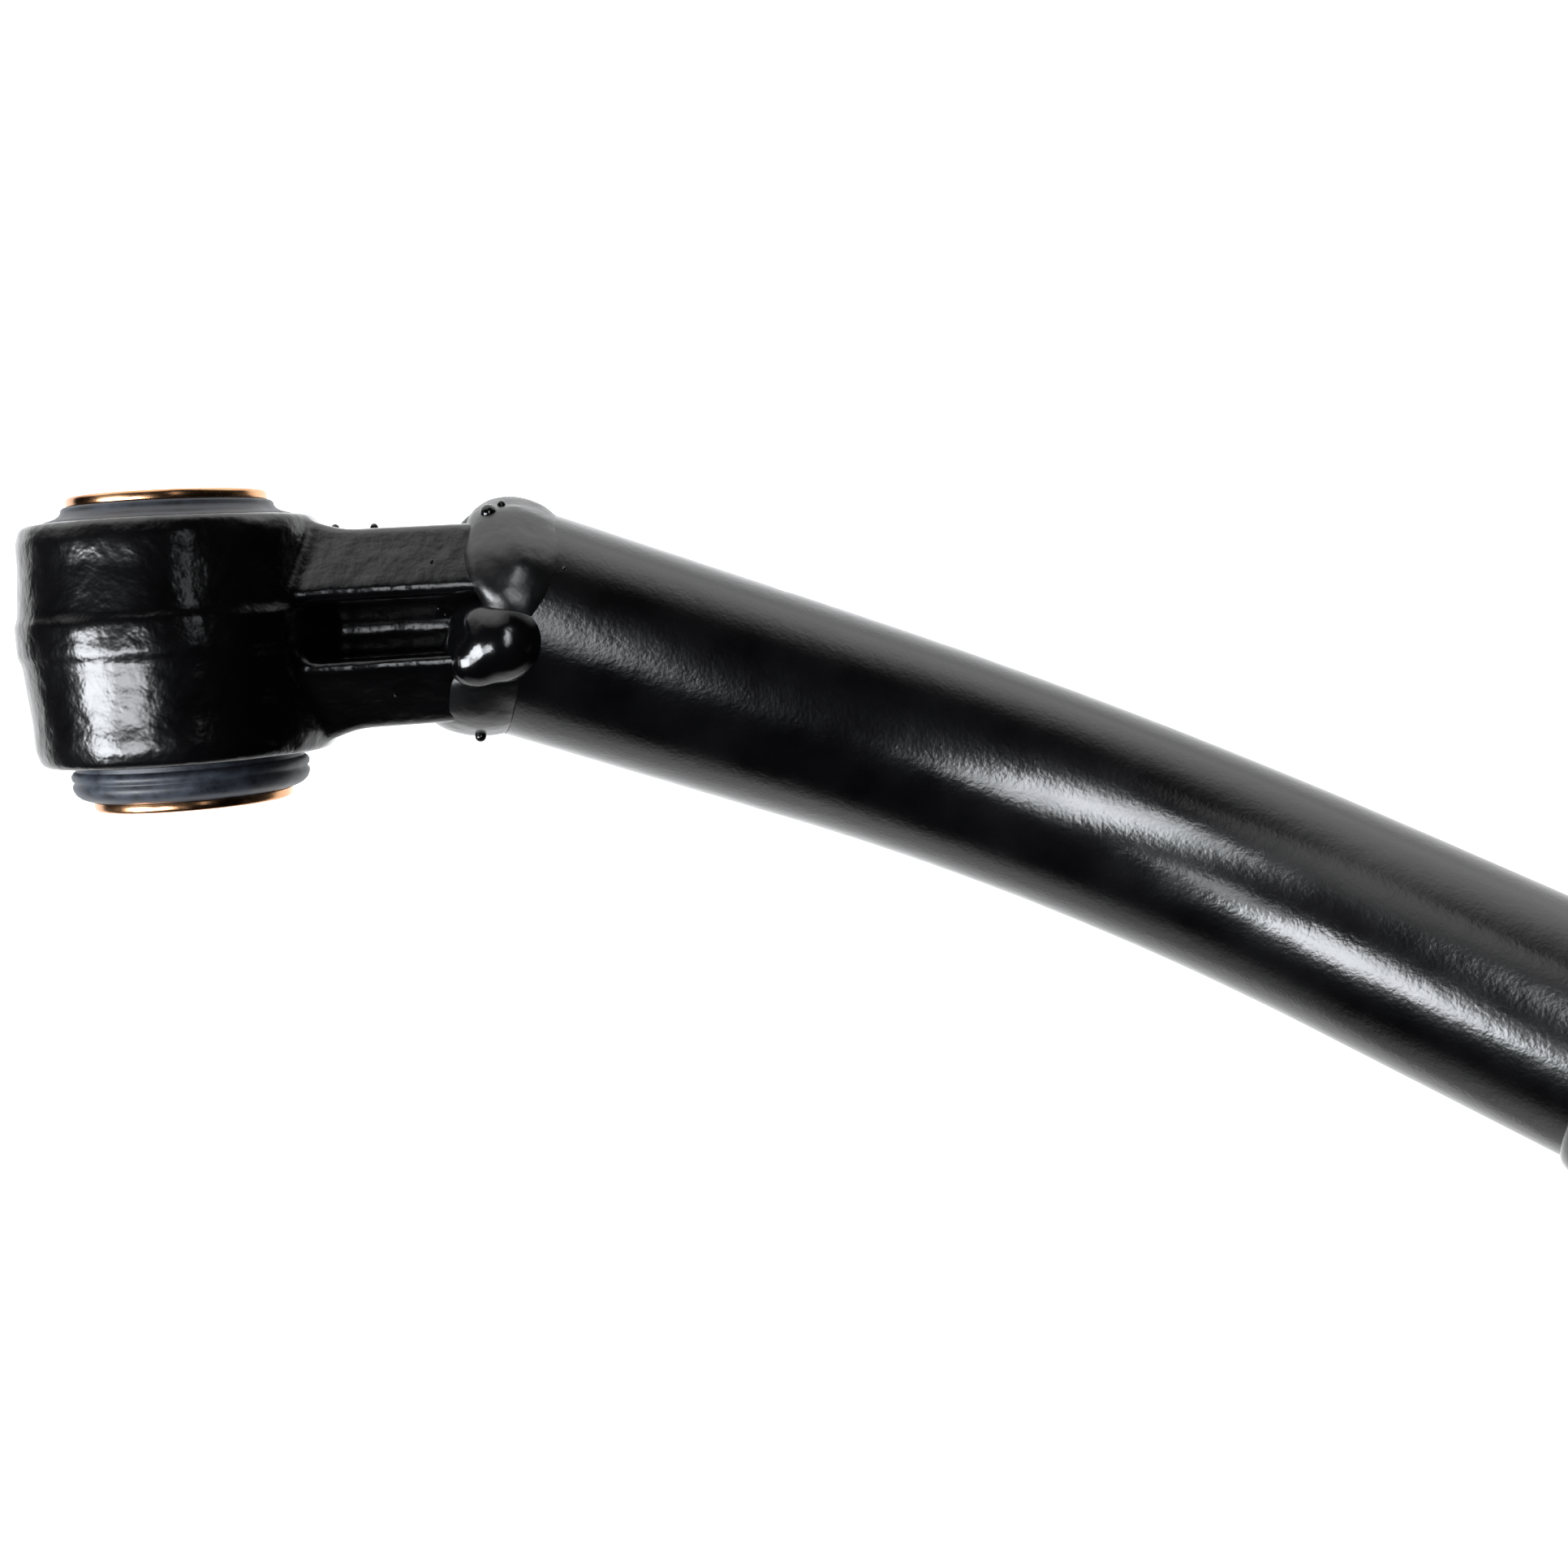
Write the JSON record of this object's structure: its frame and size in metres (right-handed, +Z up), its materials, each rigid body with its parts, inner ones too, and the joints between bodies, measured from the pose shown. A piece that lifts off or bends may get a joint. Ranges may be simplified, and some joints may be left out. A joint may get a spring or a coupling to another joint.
{
  "type": "adjustable suspension control arm",
  "caption": "Bent tubular suspension control arm with a forged bush eye welded to one end and a threaded, length-adjustable bush eye with a jam nut on the other.",
  "frame": {"origin": "centre of the fixed eye, on the axis of its bolt, 2.2 mm above the middle of the sleeve", "axes": "+Y along the fixed eye's bolt, +X along the forged shank from the eye towards the tube, +Z up, the way the tube bends"},
  "size_m": [0.412, 0.2114, 0.2321],
  "materials": {
    "powder_coat": "satin black powder coat with a fine orange peel",
    "weld_coat": "thicker, glossier black powder coat over a rippled weld bead",
    "rubber_outer": "moulded bluish dark grey rubber",
    "rubber_inner": "softer moulded dark rubber",
    "yellow_zinc": "steel with gold to copper coloured zinc plating",
    "clear_zinc": "steel with clear zinc plating",
    "shell_steel": "phosphated steel"
  },
  "bodies": {
    "arm": {"arm_tube": "powder_coat", "fixed_eye_forging": "powder_coat", "fixed_weld_ring": "weld_coat", "recess_weld_front": "weld_coat", "recess_weld_back": "weld_coat", "threaded_bung": "powder_coat", "bung_weld": "weld_coat", "fixed_bush_shell": "shell_steel", "fixed_outer_rubber": "rubber_outer"},
    "fixed_core": {"fixed_inner_rubber": "rubber_inner"},
    "fixed_sleeve_body": {"fixed_sleeve": "yellow_zinc", "fixed_top_ring": "yellow_zinc", "fixed_bottom_ring": "yellow_zinc"},
    "lock_nut": {"jam_nut": "clear_zinc"},
    "adjuster": {"adjuster_eye_forging": "powder_coat", "adjuster_bush_shell": "shell_steel", "adjuster_outer_rubber": "rubber_outer"},
    "adjuster_core": {"adjuster_inner_rubber": "rubber_inner"},
    "adjuster_sleeve_body": {"adjuster_sleeve": "yellow_zinc", "adjuster_top_ring": "yellow_zinc", "adjuster_bottom_ring": "yellow_zinc"}
  },
  "joints": [
    {"name": "fixed_bush_tilt", "type": "hinge", "parent": "arm", "child": "fixed_core", "pos_m": [0, -0.0022, 0], "axis": [1, 0, 0], "range_deg": [-3, 3]},
    {"name": "fixed_bush_twist", "type": "hinge", "parent": "fixed_core", "child": "fixed_sleeve_body", "pos_m": [0, -0.0022, 0], "axis": [0, 1, 0], "range_deg": [-25, 25]},
    {"name": "adjuster_slide", "type": "slide", "parent": "arm", "child": "adjuster", "axis": [0.584, -0.3817, 0.7164], "range_m": [-0.006, 0.01]},
    {"name": "jam_nut_slide", "type": "slide", "parent": "arm", "child": "lock_nut", "axis": [0.584, -0.3817, 0.7164], "range_m": [0, 0.005]},
    {"name": "adjuster_bush_tilt", "type": "hinge", "parent": "adjuster", "child": "adjuster_core", "pos_m": [0.34232, -0.14164, 0.16141], "axis": [0.584, -0.3817, 0.7164], "range_deg": [-3, 3]},
    {"name": "adjuster_bush_twist", "type": "hinge", "parent": "adjuster_core", "child": "adjuster_sleeve_body", "pos_m": [0.34232, -0.14164, 0.16141], "axis": [0.2412, 0.9243, 0.2959], "range_deg": [-25, 25]}
  ]
}
